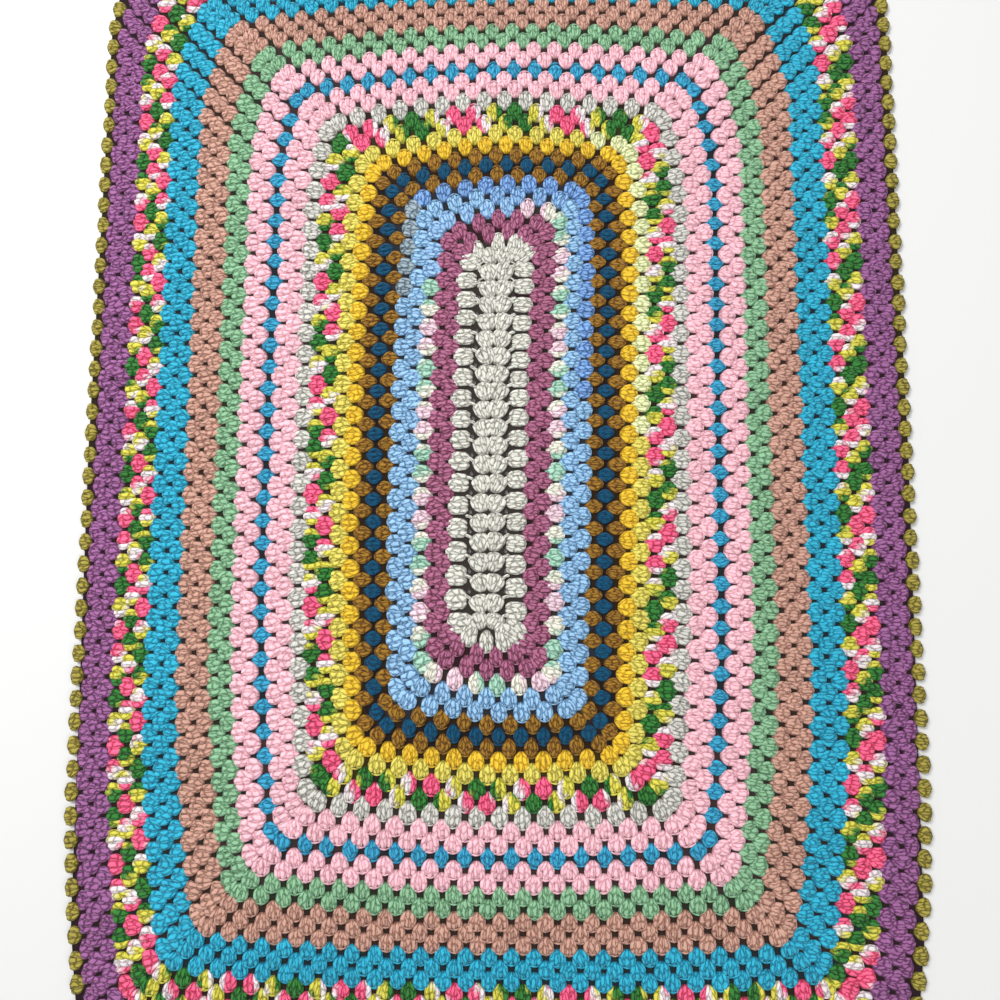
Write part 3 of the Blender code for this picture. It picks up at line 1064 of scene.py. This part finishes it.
def web_material():
    """The inner strands between the clusters, deep in the work, with their shade painted into a near-black
    colour.
    """
    material = bpy.data.materials.new("yarn_web_painted_shade")
    material.use_nodes = True
    shader = material.node_tree.nodes["Principled BSDF"]
    make = node_maker(material)
    links = material.node_tree.links
    spot = make("ShaderNodeTexCoord").outputs["Object"]
    threads = noise(make, spot, *THREAD_NOISE)
    colour = make("ShaderNodeAttribute", {"attribute_name": "web_colour"}).outputs["Color"]
    shade = plus(make, times(make, threads, WEB_SHADE[0]), WEB_SHADE[1])
    links.new(scaled_colour(make, colour, shade), shader.inputs["Base Color"])
    rough = plus(make, times(make, threads, WEB_ROUGHNESS[0]), WEB_ROUGHNESS[1])
    links.new(rough, shader.inputs["Roughness"])
    shader.inputs["Specular IOR Level"].default_value = WEB_SPECULAR
    links.new(bump_normal(make, threads), shader.inputs["Normal"])
    return material


# Under the mixed yarns the web's painted shade is tinted with these colours
MIX_WEB = {
    "bright_mix": (0.30, 0.28, 0.16),
    "pale_mix": (0.55, 0.60, 0.52),
}


def round_at(distance_out):
    """The number of the round that a given distance out from round 1 belongs to."""
    number = 1
    while number < LAST_ROUND and reach(number + 0.5) < distance_out:
        number += 1
    return number


def band_of_round(round_number):
    for index, band in enumerate(BANDS):
        round_number -= band[2]
        if round_number <= 0:
            return index
    return len(BANDS) - 1


def web_colour(flat):
    """The web's painted shade colour at a point of the cloth: dark brown, tinted by the round that it lies
    in.
    """
    past_side = abs(flat.x) - FIRST_ROUND_HALF_WIDTH
    past_head = (flat.y - FIRST_ROUND_HALF_LENGTH) / HEAD_ROW_SHARE
    past_foot = (-flat.y - FIRST_ROUND_HALF_LENGTH) / FOOT_ROW_SHARE
    yarn = BANDS[band_of_round(round_at(max(past_side, past_head, past_foot)))][1]
    colour = MIX_WEB.get(yarn, YARNS[yarn][0])
    return [brown + channel * WEB_SHARE for brown, channel in zip(WEB_PAINTED_SHADE_BROWN, colour)]


def make_web():
    """A thin closed sheet just under the middle of the clusters, coloured as painted shade, with the strip's
    gaps cut through it.
    """
    outlines = [ridge_line(LAST_ROUND)[::-1]] + gap_outlines()
    edge_rounds = []
    number = 0
    for band in BANDS[:-1]:
        number += band[2]
        edge_rounds.append(number + 0.5)
    points = []
    edges = []
    faces = []
    for line in outlines:
        first = len(points)
        points.extend(line)
        faces.append(list(range(first, len(points))))
    for round_number in edge_rounds:
        first = len(points)
        points.extend(ridge_line(round_number))
        numbers = list(range(first, len(points)))
        edges.extend(zip(numbers, numbers[1:] + numbers[:1]))
    filled = delaunay_2d_cdt(points, edges, faces, FILL_OUTLINES, MERGE_DISTANCE)
    flat_points, _, triangles, from_points, _, from_outlines = filled
    kept = [tri for tri, own in zip(triangles, from_outlines) if list(own) == [0]]
    place_of = {source: place for place, sources in enumerate(from_points) for source in sources}
    count = len(flat_points)
    corners = [(p.x - MIDDLE.x, p.y - MIDDLE.y, WEB_HIGH_Z) for p in flat_points]
    corners += [(p.x - MIDDLE.x, p.y - MIDDLE.y, WEB_LOW_Z) for p in flat_points]
    sheet_faces = [tuple(tri) for tri in kept]
    sheet_faces += [tuple(count + place for place in reversed(tri)) for tri in kept]
    for outline in faces:
        loop = [place_of[source] for source in outline]
        for start, end in zip(loop, loop[1:] + loop[:1]):
            if outline is faces[0]:
                sheet_faces.append((end, start, count + start, count + end))
            else:
                sheet_faces.append((start, end, count + end, count + start))
    mesh = bpy.data.meshes.new("inner_web_painted_shade")
    mesh.from_pydata(corners, [], sheet_faces)
    # Painted shade colour of the web, by round
    colours = mesh.attributes.new("web_colour", "FLOAT_COLOR", "CORNER")
    for face in mesh.polygons:
        middle = Vector((face.center.x + MIDDLE.x, face.center.y + MIDDLE.y))
        colour = opaque(web_colour(middle))
        for corner in face.loop_indices:
            colours.data[corner].color = colour
    mesh.materials.append(web_material())
    web = bpy.data.objects.new("inner_web_painted_shade", mesh)
    bpy.context.scene.collection.objects.link(web)
    return web


MATERIALS = {yarn: yarn_material(yarn) for yarn in YARNS}


def finish_piece(worked, name, yarn):
    mesh = worked.mesh(name)
    mesh.materials.append(MATERIALS[yarn])
    piece = bpy.data.objects.new(name, mesh)
    bpy.context.scene.collection.objects.link(piece)
    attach(piece, "root")
    return piece


def make_rounds():
    pieces = []
    number = 1
    for name, yarn, rounds, _, fullness in BANDS:
        worked = Worked()
        place = FIRST_PLACES.get(name, uneven(YARN_START_MOST))
        for _ in range(rounds):
            place = add_round(worked, yarn, number, fullness, place)
            number += 1
        pieces.append(finish_piece(worked, "rounds_" + name, yarn))
    return pieces


def make_strip():
    worked = Worked()
    for number in range(FANS):
        add_fan(worked, number, fan_foot_y(number), 1.0)
    add_fan(worked, FANS, END_FAN_Y, END_FAN_SHARE)
    return finish_piece(worked, "strip_fans", "cream")


def floor_material():
    material = bpy.data.materials.new("pale_floor")
    material.use_nodes = True
    shader = material.node_tree.nodes["Principled BSDF"]
    shader.inputs["Base Color"].default_value = opaque(FLOOR_COLOUR)
    shader.inputs["Roughness"].default_value = FLOOR_ROUGHNESS
    return material


def make_stage():
    mesh = bpy.data.meshes.new("floor")
    half = FLOOR_HALF
    corners = [(-half, -half, 0), (half, -half, 0), (half, half, 0), (-half, half, 0)]
    mesh.from_pydata(corners, [], [(0, 1, 2, 3)])
    mesh.materials.append(floor_material())
    floor = bpy.data.objects.new("floor", mesh)
    bpy.context.scene.collection.objects.link(floor)
    return floor


def add_light(name, place, size, power):
    light = bpy.data.lights.new(name, "AREA")
    light.shape = "SQUARE"
    light.size = size
    light.energy = power
    lamp = bpy.data.objects.new(name, light)
    lamp.location = place
    lamp.rotation_euler = (-Vector(place)).to_track_quat("-Z", "Y").to_euler()
    bpy.context.scene.collection.objects.link(lamp)


def make_lights():
    add_light("key_light", *KEY_LIGHT)
    add_light("fill_light", *FILL_LIGHT)
    world = bpy.data.worlds.new("studio")
    world.use_nodes = True
    background = world.node_tree.nodes["Background"]
    background.inputs["Color"].default_value = opaque(WHITE)
    background.inputs["Strength"].default_value = SKY_STRENGTH
    bpy.context.scene.world = world
    bpy.context.scene.view_settings.view_transform = "Standard"


def make_camera():
    data = bpy.data.cameras.new("camera")
    data.lens = CAMERA_LENS
    data.sensor_width = CAMERA_SENSOR
    camera = bpy.data.objects.new("camera", data)
    camera.location = (CAMERA_X, STRIP_MIDDLE_Y + CAMERA_Y, CAMERA_Z)
    camera.rotation_euler = [math.radians(turn) for turn in CAMERA_TURN]
    bpy.context.scene.collection.objects.link(camera)
    bpy.context.scene.camera = camera


make_camera()
rounds = make_rounds()
strip = make_strip()
web = make_web()
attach(web, "root")
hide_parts("afghan")
make_stage()
make_lights()
